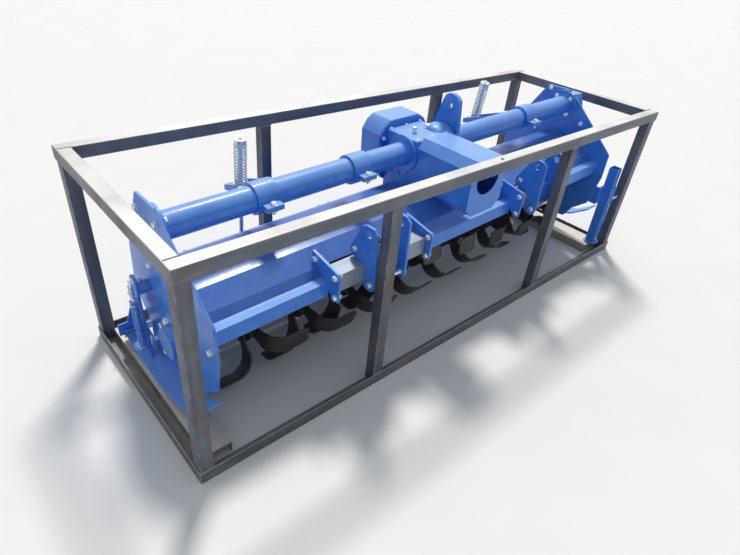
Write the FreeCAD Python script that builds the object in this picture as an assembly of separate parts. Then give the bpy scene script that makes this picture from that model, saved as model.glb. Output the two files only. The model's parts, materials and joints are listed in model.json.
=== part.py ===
import FreeCAD, Part
import math
import os

os.makedirs("parts", exist_ok=True)
V = FreeCAD.Vector

# A tractor rotavator standing in the welded steel frame it travels in, in
# millimetres. X runs along the machine's width, Y from the hitch to the rear
# and Z up, with the origin under the middle of the frame. The machine itself is
# drawn about its own datum: X from its middle, Y from the rotor's axis and Z
# from the soles of its skids. Then it leans: the left skid rests on its bearer
# and the parking leg holds the right end higher.

# Transport frame
FRAME_HEIGHT = 865.0
SQUARE_TUBE = 50.0
ANGLE_LEG = 50.0
ANGLE_WALL = 5.0
BEARER_TOP = 50.0
BEARER_WALL = 5.0
BEARER_LAP = 2.0
BEARER_WIDTH_LEFT = 100.0
BEARER_WIDTH_RIGHT = 132.0
POST_GAP = 3.0
LEFT_ROOM = 155.0
RIGHT_ROOM = 175.0
LEAN = 1.9
FRONT_POSTS = (-575.0, 555.0)
REAR_POSTS = (-540.0, 585.0)

# Side plates and cross tube
MACHINE_WIDTH = 2410.0
PLATE = 10.0
PLATE_LEAD = 49.0
TUBE_Y = 45.0
TUBE_Z = 672.0
TUBE_RADIUS = 50.0
TUBE_FLANGE_RADIUS = 82.0
TUBE_FLANGE = 12.0

# Rotor
ROTOR_UP = 227.0
ROTOR_TUBE_RADIUS = 45.0
TINE_RADIUS = 245.0
TINE_FLANGES = 9
TINE_FLANGE_RADIUS = 112.0
TINE_FLANGE = 12.0
TINES_PER_SIDE = 3
TINE_THICKNESS = 8.0
TINE_START = 62.0
TINE_ROOT = 62.0
TINE_WIDTH = 86.0
TINE_REACH = 165.0
TINE_BEND = 80.0
TINE_SWEEP = 16.0
BEND_FLATS = 3
FIRST_TINE = 100.0
FLANGE_TWIST = 9.0
END_ROOM = 220.0
ROTOR_END_GAP = 6.0
STUB_RADIUS = 30.0
STUB = 38.0
RUNNING_GAP = 0.1

# Hood and front beam
HOOD_RADIUS = 300.0
HOOD_SHEET = 5.0
HOOD_ANGLES = (130.0, 113.0, 92.0, 70.0, 46.0, 22.0)
BEAM_GAP = 21.0
BEAM_DEPTH = 42.0
BEAM_HEIGHT = 62.0
BEAM_BOTTOM = 363.0
BARE_BEAM = 76.0
BARE_LEAD = 30.0
BARE_RAISE = 23.0
FLANGE = 12.0
FLANGE_LINE = ((-56.0, -1.0), (-64.0, 117.0), (-56.0, 126.0), (96.0, 153.0), (96.0, 107.0))

# Hitch. Each pair of spans is where the bare bar ends, from its bracket's middle
HITCH_X = 30.0
HITCH_SPREAD = 1046.0
BARE_SPANS = ((-220.0, 248.0), (-161.0, 202.0))
EAR_GAP = 148.0
EAR = 12.0
EAR_LOBE = 61.0
JAW = 14.0
HITCH_PIN_RADIUS = 14.4
HITCH_PIN_BACK = 45.0
HITCH_PIN_Z = 598.0
LUG = 20.0
LUG_HOLE_RADIUS = 13.0
LUG_HOLE_Y = 20.0
LUG_HOLE_Z = 847.0

# Gearbox and drive
GEARBOX_LEFT = -80.0
GEARBOX_RIGHT = 128.0
GEARBOX_FRONT = -30.0
GEARBOX_REAR = 160.0
GEARBOX_TOP = 745.0
LID = 12.0
BOSS = 30.0
BOSS_RADIUS = 88.0
COVER_DEPTH = 130.0
INPUT_RADIUS = 17.4
INPUT_COLLAR = 8.0
GUARD_FRONT_GAP = 7.0
GUARD_HALF = 109.5
GUARD_CHAMFER = 38.0
GUARD_BOTTOM = 517.0
GUARD_TOP = 757.0
GUARD_WALL = 4.0
GUARD_HOLE = 70.0
DRIVE_CASE = 58.0

# Tailgate, its hinges and its end wings. The line runs down from the hinge
HINGE_OUT = 18.0
HINGE_ANGLE = 17.0
HINGE_PIN_RADIUS = 8.0
HINGE_GAP = 0.3
KNUCKLES = 4
KNUCKLE = 44.0
KNUCKLE_RADIUS = 15.0
KNUCKLE_INSET = 110.0
HINGE_EAR = 10.0
GATE_LINE = ((-13.0, -10.0), (-5.0, -93.0), (9.0, -173.0), (34.0, -245.0), (72.0, -309.0))
GATE_SHEET = 5.0
GATE_SIDE_GAP = 8.0
GATE_LIFT = 15.0
GATE_ROOM = 18.0
WING_REACH = 96.0
WING_HEIGHT = 64.0

# Spring rods and their clamped arms
ROD_X = (-739.0, 751.0)
ARM_CLAMP_X = (-803.0, 802.0)
TUBE_CLAMP_X = -358.0
ROD_RADIUS = 9.0
EYE_BACK = 57.0
EYE_DOWN = 85.0
EYE_PIN_RADIUS = 6.0
GUIDE_Y = 315.0
GUIDE_Z = 581.0
GUIDE_BLOCK = 14.0
ROD_TOP = 224.0
SPRING_RADIUS = 26.5
SPRING_LENGTH = 185.0
SEAT = 6.0
CLAMP_LENGTH = 90.0
CLAMP_WALL = 10.0
CLAMP_EAR = 20.0
CLAMP_EAR_REACH = 38.0
ARM_SPREAD = 50.0
ARM_PLATE = 8.0

# Skids. The line is the sole's underside from toe to heel
SOLE_LINE = ((-287.0, 132.0), (-190.0, 64.0), (-72.0, 18.0), (45.0, 0.0), (215.0, 0.0), (290.0, 6.0),
             (355.0, 28.0))
SKID_WIDTH = 92.0
SOLE = 8.0
SKID_WEB = 8.0
STRUT_OUT = 44.0
STRUT = 10.0

# Parking leg
LEG_OUT = 71.0
LEG_BACK = 11.0
LEG_TUBE = 50.0
LEG_WALL = 4.0
LEG_TOP = 405.0
LEG_FOOT_RADIUS = 42.0
LEG_FOOT = 8.0
SLEEVE_WALL = 6.0
SLEEVE_GAP = 0.5
SLEEVE_LOW = 185.0
SLEEVE_HIGH = 289.0
ARM_LAP = 20.0


def box(x0, x1, y0, y1, z0, z1):
    return Part.makeBox(x1 - x0, y1 - y0, z1 - z0, V(x0, y0, z0))


def rod_x(x0, x1, y, z, r):
    return Part.makeCylinder(r, x1 - x0, V(x0, y, z), V(1, 0, 0))


def rod_y(y0, y1, x, z, r):
    return Part.makeCylinder(r, y1 - y0, V(x, y0, z), V(0, 1, 0))


def prism(points, step):
    return Part.Face(Part.makePolygon(points + [points[0]])).extrude(step)


def prism_x(yz, x0, x1):
    return prism([V(x0, y, z) for y, z in yz], V(x1 - x0, 0, 0))


def prism_y(xz, y0, y1):
    return prism([V(x, y0, z) for x, z in xz], V(0, y1 - y0, 0))


def many_sided(y, z, flat_radius, sides):
    """An outline whose flats lie at flat_radius from its middle."""
    r = flat_radius / math.cos(math.pi / sides)
    turns = [2 * math.pi * (k + 0.5) / sides for k in range(sides)]
    return [(y + r * math.cos(a), z + r * math.sin(a)) for a in turns]


def octagon(x0, x1, z0, z1, cut):
    return [(x0 + cut, z0), (x1 - cut, z0), (x1, z0 + cut), (x1, z1 - cut),
            (x1 - cut, z1), (x0 + cut, z1), (x0, z1 - cut), (x0, z0 + cut)]


def sheet_outline(line, thickness):
    """The section of a bent sheet: line is one face, the other lies to its left."""
    other = []
    for k, (y, z) in enumerate(line):
        before = line[max(k - 1, 0)]
        after = line[min(k + 1, len(line) - 1)]
        dy, dz = after[0] - before[0], after[1] - before[1]
        length = math.hypot(dy, dz)
        other.append((y - dz / length * thickness, z + dy / length * thickness))
    return list(line) + other[::-1]


def join(shapes):
    whole = shapes[0]
    if len(shapes) > 1:
        whole = whole.multiFuse(shapes[1:])
    return whole.removeSplitter()


def ordered(a, b):
    return (a, b) if a < b else (b, a)


def polar(angle, radius):
    a = math.radians(angle)
    return (radius * math.cos(a), ROTOR_UP + radius * math.sin(a))


def save(name, shape):
    shape.exportStep("parts/" + name + ".step")


# Where the machine's pieces lie about its datum
face_left = -MACHINE_WIDTH / 2
face_right = MACHINE_WIDTH / 2
inner_left = face_left + PLATE
inner_right = face_right - PLATE
hood_front = polar(HOOD_ANGLES[0], HOOD_RADIUS)
beam_rear = hood_front[0] - BEAM_GAP
beam_front = beam_rear - BEAM_DEPTH
beam_top = BEAM_BOTTOM + BEAM_HEIGHT
bare_front = beam_front - BARE_LEAD
bare_rear = bare_front + BARE_BEAM
bare_low = BEAM_BOTTOM + BARE_RAISE
bare_top = bare_low + BARE_BEAM
hitch_front = bare_front - EAR_LOBE
hinge = polar(HINGE_ANGLE, HOOD_RADIUS + HINGE_OUT)
gate_foot = GATE_LINE[-1]
gate_reach = math.hypot(gate_foot[0] + GATE_SHEET, gate_foot[1])
gate_hang = math.atan2(gate_foot[1], gate_foot[0] + GATE_SHEET)
gate_rear = hinge[0] + gate_reach * math.cos(gate_hang + math.radians(GATE_LIFT)) + GATE_ROOM

# The frame is as large as the machine and its room in it
frame_edge = ANGLE_WALL + SQUARE_TUBE
half_l = (LEFT_ROOM + MACHINE_WIDTH + RIGHT_ROOM) / 2
half_w = (gate_rear - hitch_front + POST_GAP) / 2 + frame_edge
lean = math.radians(LEAN)
lift = BEARER_TOP + (SKID_WIDTH - face_left) * math.sin(lean)
datum = V((LEFT_ROOM - RIGHT_ROOM) / 2, frame_edge + POST_GAP - half_w - hitch_front, lift)


def place(name, shape):
    shape.rotate(V(0, 0, 0), V(0, 1, 0), -LEAN)
    shape.translate(datum)
    save(name, shape)


# Transport frame: square tubes above, an angle ring below, posts between them
ring_bottom = FRAME_HEIGHT - SQUARE_TUBE
outer = box(-half_l, half_l, -half_w, half_w, ring_bottom, FRAME_HEIGHT)
inner = box(SQUARE_TUBE - half_l, half_l - SQUARE_TUBE, SQUARE_TUBE - half_w, half_w - SQUARE_TUBE,
            ring_bottom, FRAME_HEIGHT)
save("frame_top", outer.cut(inner))

base = box(-half_l, half_l, -half_w, half_w, 0, ANGLE_LEG)
base = base.cut(box(ANGLE_WALL - half_l, half_l - ANGLE_WALL, ANGLE_WALL - half_w, half_w - ANGLE_WALL,
                    ANGLE_WALL, ANGLE_LEG))
base = base.cut(box(ANGLE_LEG - half_l, half_l - ANGLE_LEG, ANGLE_LEG - half_w, half_w - ANGLE_LEG,
                    0, ANGLE_WALL))
save("frame_base", base)

post_front = ANGLE_WALL - half_w
post_rear = half_w - frame_edge
post_left = ANGLE_WALL - half_l
post_right = half_l - frame_edge
posts = [("front_left", post_left, post_front), ("front_right", post_right, post_front),
         ("rear_left", post_left, post_rear), ("rear_right", post_right, post_rear)]
for row, y, middles in (("front", post_front, FRONT_POSTS), ("rear", post_rear, REAR_POSTS)):
    for side, x in zip(("left", "right"), middles):
        posts.append((row + "_mid_" + side, x - SQUARE_TUBE / 2, y))
for name, x, y in posts:
    save("frame_post_" + name, box(x, x + SQUARE_TUBE, y, y + SQUARE_TUBE, ANGLE_WALL, ring_bottom))

bearer_edge = half_l - ANGLE_LEG + BEARER_LAP
for name, x0, x1 in (("bearer_left", -bearer_edge, BEARER_WIDTH_LEFT - bearer_edge),
                     ("bearer_right", bearer_edge - BEARER_WIDTH_RIGHT, bearer_edge)):
    channel = box(x0, x1, -post_rear, post_rear, ANGLE_WALL, BEARER_TOP)
    save(name, channel.cut(box(x0 + BEARER_WALL, x1 - BEARER_WALL, -post_rear, post_rear,
                               ANGLE_WALL, BEARER_TOP - BEARER_WALL)))


# Front beam: painted box sections, bare square bar and the flange plates between
def beam_box(x0, x1):
    return box(x0, x1, beam_front, beam_rear, BEAM_BOTTOM, beam_top)


def bare_box(x0, x1):
    return box(x0, x1, bare_front, bare_rear, bare_low, bare_top)


hood_out = [polar(a, HOOD_RADIUS) for a in HOOD_ANGLES]
under_hood = prism_x(hood_out + [(0, ROTOR_UP)], inner_left, inner_right)


def flange_plate(x0):
    outline = [(beam_front + y, BEAM_BOTTOM + z) for y, z in FLANGE_LINE]
    outline += [(beam_rear, beam_top), (beam_rear - 4, BEAM_BOTTOM - 1)]
    return prism_x(outline, x0, x0 + FLANGE).cut(under_hood)


hitch_left = HITCH_X - HITCH_SPREAD / 2
hitch_right = HITCH_X + HITCH_SPREAD / 2
bare_a, bare_b = (hitch_left + x for x in BARE_SPANS[0])
bare_c, bare_d = (hitch_right + x for x in BARE_SPANS[1])
place("beam_left", join([beam_box(inner_left, bare_a - FLANGE), flange_plate(bare_a - FLANGE)]))
place("beam_middle", join([flange_plate(bare_b), beam_box(bare_b + FLANGE, bare_c - FLANGE),
                           flange_plate(bare_c - FLANGE)]))
place("beam_right", join([flange_plate(bare_d), beam_box(bare_d + FLANGE, inner_right)]))
place("beam_bare_left", bare_box(bare_a, bare_b))
place("beam_bare_right", bare_box(bare_c, bare_d))

# Side plates, with a hole for the rotor's stub
plate_front = beam_front - PLATE_LEAD
SIDE_OUTLINE = [(plate_front, 350), (plate_front + 36, 176), (-190, 108), (-150, 40), (-35, 23), (175, 23),
                (280, 82), (392, 217), (400, 247), (352, 462), (165, 755), (16, 760), (plate_front + 15, 500),
                (plate_front, 485)]
for name, x0 in (("side_plate_left", face_left), ("side_plate_right", inner_right)):
    hole = prism_x(many_sided(0, ROTOR_UP, STUB_RADIUS + 6, 20), x0, x0 + PLATE)
    place(name, prism_x(SIDE_OUTLINE, x0, x0 + PLATE).cut(hole))

# Skids: a curved sole, a web against the side plate and an upright strut
STRUT_BACK = (205.0, 250.0)
STRUT_TOP = 367.0
for name, face, out in (("skid_left", face_left, -1), ("skid_right", face_right, 1)):
    lo, hi = ordered(face, face + out * SKID_WIDTH)
    sole = prism_x(sheet_outline(SOLE_LINE, SOLE), lo, hi)
    web_lo, web_hi = ordered(face, face + out * SKID_WEB)
    web = prism_x([(-70, 28), (45, 4), (215, 4), (230, 90), (-100, 90)], web_lo, web_hi)
    strut_lo, strut_hi = ordered(face + out * STRUT_OUT, face + out * (STRUT_OUT + STRUT))
    strut = box(strut_lo, strut_hi, STRUT_BACK[0], STRUT_BACK[1], SOLE / 2, STRUT_TOP)
    tab_lo, tab_hi = ordered(face, face + out * STRUT_OUT)
    tab = box(tab_lo, tab_hi, STRUT_BACK[0], STRUT_BACK[1], STRUT_TOP - 40, STRUT_TOP - 28)
    place(name, join([sole, web, strut, tab]))

# Hood: a sheet bent round the rotor, reaching forward to the painted beams
hood_in = [polar(a, HOOD_RADIUS - HOOD_SHEET) for a in HOOD_ANGLES]
apron = [(beam_rear, beam_top), hood_out[0], hood_in[0], (beam_rear, beam_top - 1.6 * HOOD_SHEET)]
hood = [prism_x(hood_out + hood_in[::-1], inner_left, inner_right)]
beam_spans = ((inner_left, bare_a - FLANGE), (bare_b + FLANGE, bare_c - FLANGE), (bare_d + FLANGE, inner_right))
for x0, x1 in beam_spans:
    hood.append(prism_x(apron, x0, x1))
hood = join(hood)
place("hood", hood.copy())


# Gearbox with its lid, the boss for the right tube and the rear cover
def gearbox_block(z0, z1):
    return box(GEARBOX_LEFT, GEARBOX_RIGHT, GEARBOX_FRONT, GEARBOX_REAR, z0, z1)


lid_bottom = GEARBOX_TOP - LID
case = gearbox_block(ROTOR_UP + HOOD_RADIUS / 2, lid_bottom)
boss = prism_x(many_sided(TUBE_Y, TUBE_Z, BOSS_RADIUS, 32), GEARBOX_RIGHT, GEARBOX_RIGHT + BOSS)
shaft_seat = INPUT_RADIUS + INPUT_COLLAR + RUNNING_GAP
seat_depth = 90.0
case = join([case, boss]).cut(under_hood)
place("gearbox", case.cut(rod_y(GEARBOX_FRONT, GEARBOX_FRONT + seat_depth, HITCH_X, TUBE_Z, shaft_seat)))
place("gearbox_lid", gearbox_block(lid_bottom, GEARBOX_TOP))
COVER_HALF = [(87, 145), (122, 123), (150, 82), (150, -82), (122, -123), (87, -145)]
COVER_Z = 632.0
cover_outline = [(HITCH_X + x, COVER_Z + z) for x, z in COVER_HALF]
cover_outline += [(HITCH_X - x, COVER_Z + z) for x, z in COVER_HALF[::-1]]
place("gearbox_rear_cover", prism_y(cover_outline, GEARBOX_REAR, GEARBOX_REAR + COVER_DEPTH).cut(under_hood))

# Guard tunnel over the input shaft, with a front plate that has the shaft's hole
guard_front = hitch_front + GUARD_FRONT_GAP
tunnel = prism_y(octagon(HITCH_X - GUARD_HALF, HITCH_X + GUARD_HALF, GUARD_BOTTOM, GUARD_TOP, GUARD_CHAMFER),
                 guard_front, GEARBOX_FRONT)
w = GUARD_WALL
room = prism_y(octagon(HITCH_X - GUARD_HALF + w, HITCH_X + GUARD_HALF - w, GUARD_BOTTOM + w, GUARD_TOP - w,
                       GUARD_CHAMFER), guard_front + w, GEARBOX_FRONT)
mouth = prism_y(many_sided(HITCH_X, TUBE_Z, GUARD_HOLE, 24), guard_front, guard_front + w)
place("input_guard", tunnel.cut(room).cut(mouth).cut(under_hood).cut(case))

# Input shaft, its thicker end turning in the gearbox
shaft_front = guard_front + 40.0
collar_front = GEARBOX_FRONT - 30.0
thin = rod_y(shaft_front, collar_front, HITCH_X, TUBE_Z, INPUT_RADIUS)
thick = rod_y(collar_front, GEARBOX_FRONT + seat_depth - 2, HITCH_X, TUBE_Z, INPUT_RADIUS + INPUT_COLLAR)
place("input_shaft", join([thin, thick]))

# Top link lug, held between the gearbox's boss and the right tube
lug_x = GEARBOX_RIGHT + BOSS
LUG_OUTLINE = [(-40, TUBE_Z + 60), (-40, 767), (-30, 877), (-16, 891), (5, 900), (30, 900), (50, 889),
               (62, 867), (92, 779), (115, TUBE_Z + 60), (80, TUBE_Z), (0, TUBE_Z)]
lug = join([prism_x(LUG_OUTLINE, lug_x, lug_x + LUG),
            prism_x(many_sided(TUBE_Y, TUBE_Z, BOSS_RADIUS, 32), lug_x, lug_x + LUG)])
place("top_link_lug", lug.cut(rod_x(lug_x, lug_x + LUG, LUG_HOLE_Y, LUG_HOLE_Z, LUG_HOLE_RADIUS)))


# Cross tubes with their end flanges
def cross_tube(x0, x1):
    rim = many_sided(TUBE_Y, TUBE_Z, TUBE_FLANGE_RADIUS, 32)
    ends = [prism_x(rim, a, a + TUBE_FLANGE) for a in (x0, x1 - TUBE_FLANGE)]
    return join([rod_x(x0, x1, TUBE_Y, TUBE_Z, TUBE_RADIUS)] + ends)


place("cross_tube_left", cross_tube(inner_left, GEARBOX_LEFT))
place("cross_tube_right", cross_tube(lug_x + LUG, inner_right))

# Lower hitch brackets: two ears each, clamped round the bare bar
pin_y = hitch_front + HITCH_PIN_BACK
jaw_end = bare_rear - 20
ear_back = bare_rear + 6
ear_outline = [(hitch_front, bare_low), (hitch_front + 8, bare_low - 22), (hitch_front + 26, bare_low - 31),
               (bare_front - 8, bare_low - 24), (bare_front, bare_low - JAW), (jaw_end, bare_low - JAW),
               (jaw_end, bare_top), (ear_back, bare_top + 22), (ear_back, bare_top + 46),
               (pin_y + 52, HITCH_PIN_Z - 8), (pin_y + 42, HITCH_PIN_Z + 20), (pin_y + 16, HITCH_PIN_Z + 33),
               (pin_y - 22, HITCH_PIN_Z + 33), (hitch_front, HITCH_PIN_Z + 16)]
bar = box(bare_a, bare_d, bare_front, bare_rear, bare_low, bare_top)
pin_hole = rod_x(bare_a, bare_d, pin_y, HITCH_PIN_Z, HITCH_PIN_RADIUS)
for name, middle in (("hitch_bracket_left", hitch_left), ("hitch_bracket_right", hitch_right)):
    inside = EAR_GAP / 2
    ears = [prism_x(ear_outline, a, a + EAR) for a in (middle - inside - EAR, middle + inside)]
    saddle = box(middle - inside, middle + inside, bare_front - JAW, jaw_end, bare_low - JAW, bare_top + JAW)
    place(name, join(ears + [saddle]).cut(bar).cut(pin_hole))

# Rotor: a tube with stubs, welded discs and a ring of bent blades on each side
drum_left = inner_left + ROTOR_END_GAP
drum_right = inner_right - ROTOR_END_GAP
drum = prism_x(many_sided(0, ROTOR_UP, ROTOR_TUBE_RADIUS, 20), drum_left, drum_right)
stub_left = rod_x(face_left - STUB, drum_left, 0, ROTOR_UP, STUB_RADIUS)
stub_right = rod_x(drum_right, face_right + STUB, 0, ROTOR_UP, STUB_RADIUS)
place("rotor_shaft", join([drum, stub_left, stub_right]))


def bend_points(radius, centre_z):
    turns = [math.radians(90.0 * k / BEND_FLATS) for k in range(BEND_FLATS + 1)]
    return [(TINE_BEND - radius * math.cos(a), centre_z + radius * math.sin(a)) for a in turns]


def tine(side):
    half = TINE_WIDTH / 2
    top = math.sqrt(TINE_RADIUS ** 2 - (half + TINE_SWEEP) ** 2)
    centre_z = top - TINE_BEND
    outside = [(0, TINE_START)] + bend_points(TINE_BEND, centre_z) + [(TINE_REACH, top)]
    inside = [(TINE_THICKNESS, TINE_START)] + bend_points(TINE_BEND - TINE_THICKNESS, centre_z)
    inside.append((TINE_REACH, top - TINE_THICKNESS))
    section = [(side * x, z) for x, z in outside + inside[::-1]]
    sheet = prism_y(section, -TINE_WIDTH, TINE_WIDTH)
    middle = (TINE_START + top) / 2
    root = TINE_ROOT / 2
    face = [(-root, TINE_START), (-root, middle - 30), (TINE_SWEEP / 2 - half, middle + 20),
            (TINE_SWEEP - half, TINE_RADIUS), (TINE_SWEEP + half, TINE_RADIUS),
            (TINE_SWEEP / 2 + half, middle + 20), (root, middle - 40), (root, TINE_START)]
    lo, hi = ordered(-side, side * (TINE_REACH + 1))
    return sheet.common(prism_x(face, lo, hi))


blades = {1: tine(1), -1: tine(-1)}
flange_first = inner_left + END_ROOM
flange_pitch = (inner_right - END_ROOM - TINE_FLANGE - flange_first) / (TINE_FLANGES - 1)
discs = []
tines = []
for i in range(TINE_FLANGES):
    x = flange_first + i * flange_pitch
    rim = prism_x(many_sided(0, ROTOR_UP, TINE_FLANGE_RADIUS, 20), x, x + TINE_FLANGE)
    discs.append(rim.cut(prism_x(many_sided(0, ROTOR_UP, ROTOR_TUBE_RADIUS, 20), x, x + TINE_FLANGE)))
    for k in range(2 * TINES_PER_SIDE):
        side = -1 if k % 2 else 1
        blade = blades[side].copy()
        blade.translate(V(x + TINE_FLANGE if side > 0 else x, 0, 0))
        blade.rotate(V(0, 0, 0), V(1, 0, 0), FIRST_TINE + i * FLANGE_TWIST + k * 180.0 / TINES_PER_SIDE)
        blade.translate(V(0, 0, ROTOR_UP))
        tines.append(blade)
place("tine_flanges", Part.makeCompound(discs))
place("tines", Part.makeCompound(tines))

# Side drive case on the right plate, bearing housing on the left one
case_outline = [(TUBE_Y - 100, TUBE_Z - 40), (TUBE_Y - 60, TUBE_Z + 70), (TUBE_Y + 60, TUBE_Z + 70),
                (TUBE_Y + 100, TUBE_Z - 40), (110, ROTOR_UP), (60, ROTOR_UP - 96), (-60, ROTOR_UP - 96),
                (-110, ROTOR_UP)]
bore = STUB_RADIUS + RUNNING_GAP
drive_bore = rod_x(face_right, face_right + STUB + 2, 0, ROTOR_UP, bore)
place("side_drive_case", prism_x(case_outline, face_right, face_right + DRIVE_CASE).cut(drive_bore))
housing = join([prism_x(many_sided(0, ROTOR_UP, 95, 12), face_left - 16, face_left),
                prism_x(many_sided(0, ROTOR_UP, 60, 12), face_left - STUB - 14, face_left - 16)])
place("bearing_housing", housing.cut(rod_x(face_left - STUB - 2, face_left, 0, ROTOR_UP, bore)))

# Tailgate: a flared sheet with end wings, hinge plates and the rod eyes' ears
gate_line = [(hinge[0] + y, hinge[1] + z) for y, z in GATE_LINE]
gate_left = inner_left + GATE_SIDE_GAP
gate_right = inner_right - GATE_SIDE_GAP
panel_section = sheet_outline(gate_line, GATE_SHEET)
panel = prism_x(panel_section, gate_left, gate_right)
wings = prism_x(panel_section, face_left - WING_REACH, face_right + WING_REACH)
wings = wings.common(box(-MACHINE_WIDTH, MACHINE_WIDTH, 0, MACHINE_WIDTH, 0, gate_line[-1][1] + WING_HEIGHT))
panel = join([panel, wings])
knuckle_first = inner_left + KNUCKLE_INSET
knuckle_pitch = (inner_right - KNUCKLE_INSET - KNUCKLE - knuckle_first) / (KNUCKLES - 1)
eye = (hinge[0] + EYE_BACK, hinge[1] - EYE_DOWN)
plates = []
hinge_line = []
fork = HINGE_EAR + 1.0
for k in range(KNUCKLES):
    x = knuckle_first + k * knuckle_pitch
    panel = panel.cut(box(x - fork - 6, x + KNUCKLE + fork + 6, 0, hinge[0] + 40, hinge[1] - 28, hinge[1] + 20))
    web = [(hinge[0] - 12, hinge[1]), (hinge[0] + 12, hinge[1]), (hinge[0] + 4, hinge[1] - 60),
           (hinge[0] - 6, hinge[1] - 60)]
    knuckle = join([prism_x(many_sided(hinge[0], hinge[1], KNUCKLE_RADIUS, 8), x, x + KNUCKLE),
                    prism_x(web, x, x + KNUCKLE)])
    plates.append(knuckle)
    ears = []
    for a in (x - fork, x + KNUCKLE + 1.0):
        ears.append(prism_x([polar(22, 298), (hinge[0] - 8, hinge[1] - 13), (hinge[0] + 12, hinge[1] - 13),
                             (hinge[0] + 14, hinge[1] + 10), polar(36, 318), polar(36, 291)], a, a + HINGE_EAR))
    pin = prism_x(many_sided(hinge[0], hinge[1], HINGE_PIN_RADIUS, 12), x - fork, x + KNUCKLE + fork)
    hinge_line.append(join(ears + [pin]).cut(hood))
EYE_EAR_IN = 12.0
EYE_EAR_OUT = 20.0
eye_ear = [(eye[0] + 14, eye[1] - 10), (eye[0] + 14, eye[1] + 12), (eye[0] - 8, eye[1] + 18),
           (hinge[0] - 7, hinge[1] - 50), (hinge[0] + 8, hinge[1] - 150)]
for x in ROD_X:
    for s in (-1, 1):
        lo, hi = ordered(x + s * EYE_EAR_IN, x + s * EYE_EAR_OUT)
        plates.append(prism_x(eye_ear, lo, hi))
tailgate = join([panel] + plates)
pin_room = many_sided(hinge[0], hinge[1], HINGE_PIN_RADIUS + 2 * HINGE_GAP, 12)
tailgate = tailgate.cut(prism_x(pin_room, inner_left, inner_right))
eye_room = many_sided(eye[0], eye[1], EYE_PIN_RADIUS + 2 * HINGE_GAP, 12)
for x in ROD_X:
    tailgate = tailgate.cut(prism_x(eye_room, x - EYE_EAR_OUT, x + EYE_EAR_OUT))
place("tailgate", tailgate)
place("hinge_line", Part.makeCompound(hinge_line))

# Spring rods: an eye at the tailgate, and the spring between its seat and nut
rise = V(0, GUIDE_Y - eye[0], GUIDE_Z - eye[1])
guide_at = rise.Length
tilt = math.degrees(math.atan2(-rise.y, rise.z))


def on_rod(section_radius, sides, start, length, x):
    outline = [V(a, b, 0) for a, b in many_sided(0, 0, section_radius, sides)]
    shape = prism(outline, V(0, 0, length))
    shape.translate(V(0, 0, start))
    shape.rotate(V(0, 0, 0), V(1, 0, 0), tilt)
    shape.translate(V(x, eye[0], eye[1]))
    return shape


seat_at = guide_at + GUIDE_BLOCK / 2 + HINGE_GAP
spring_at = seat_at + SEAT
for side, x in zip(("left", "right"), ROD_X):
    rod = on_rod(ROD_RADIUS, 16, 0, guide_at + ROD_TOP, x)
    boss = prism_x(many_sided(eye[0], eye[1], 13, 8), x - EYE_EAR_IN + 1, x + EYE_EAR_IN - 1)
    pin = prism_x(many_sided(eye[0], eye[1], EYE_PIN_RADIUS, 12), x - EYE_EAR_OUT - 4, x + EYE_EAR_OUT + 4)
    seat = on_rod(SPRING_RADIUS + 3, 12, seat_at, SEAT, x)
    nut = on_rod(24, 12, spring_at + SPRING_LENGTH, 18, x)
    place("spring_rod_" + side, join([rod, boss, pin, seat, nut]))
    spring = on_rod(SPRING_RADIUS, 16, spring_at, SPRING_LENGTH, x)
    place("spring_" + side, spring.cut(on_rod(ROD_RADIUS + HINGE_GAP, 12, spring_at, SPRING_LENGTH, x)))


# Split clamps round the cross tube, two of them with arms that guide the rods
def tube_clamp(middle, ear_lo, ear_hi):
    lo, hi = middle - CLAMP_LENGTH / 2, middle + CLAMP_LENGTH / 2
    ring = prism_x(many_sided(TUBE_Y, TUBE_Z, TUBE_RADIUS + CLAMP_WALL, 16), lo, hi)
    edge = TUBE_RADIUS + CLAMP_WALL + CLAMP_EAR_REACH
    front = box(middle - 35, middle + 35, TUBE_Y - edge, TUBE_Y, TUBE_Z - CLAMP_EAR, TUBE_Z)
    back = box(ear_lo, ear_hi, TUBE_Y, TUBE_Y + edge, TUBE_Z - CLAMP_EAR, TUBE_Z)
    return [ring, front, back]


arm_outline = [(TUBE_Y + 64, TUBE_Z - 48), (GUIDE_Y + 38, GUIDE_Z - 14), (GUIDE_Y + 38, GUIDE_Z + 8),
               (TUBE_Y + 92, TUBE_Z), (TUBE_Y + 64, TUBE_Z)]
tube_room = rod_x(inner_left, inner_right, TUBE_Y, TUBE_Z, TUBE_RADIUS)
place("tube_clamp", join(tube_clamp(TUBE_CLAMP_X, TUBE_CLAMP_X - 35, TUBE_CLAMP_X + 35)).cut(tube_room))
for side, x, middle in zip(("left", "right"), ROD_X, ARM_CLAMP_X):
    out = ARM_SPREAD + ARM_PLATE / 2
    lo, hi = min(x - out, middle - CLAMP_LENGTH / 2), max(x + out, middle + CLAMP_LENGTH / 2)
    pieces = tube_clamp(middle, lo, hi)
    for s in (-1, 1):
        arm_lo, arm_hi = ordered(x + s * (ARM_SPREAD - ARM_PLATE / 2), x + s * out)
        pieces.append(prism_x(arm_outline, arm_lo, arm_hi))
    block = box(x - ARM_SPREAD, x + ARM_SPREAD, -36, 36, -GUIDE_BLOCK / 2, GUIDE_BLOCK / 2)
    block.rotate(V(0, 0, 0), V(1, 0, 0), tilt)
    block.translate(V(0, GUIDE_Y, GUIDE_Z))
    pieces.append(block)
    slot = box(x - ROD_RADIUS - 5, x + ROD_RADIUS + 5, GUIDE_Y - 22, GUIDE_Y + 22, GUIDE_Z - 20, GUIDE_Z + 20)
    place("spring_arm_" + side, join(pieces).cut(tube_room).cut(slot))

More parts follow.
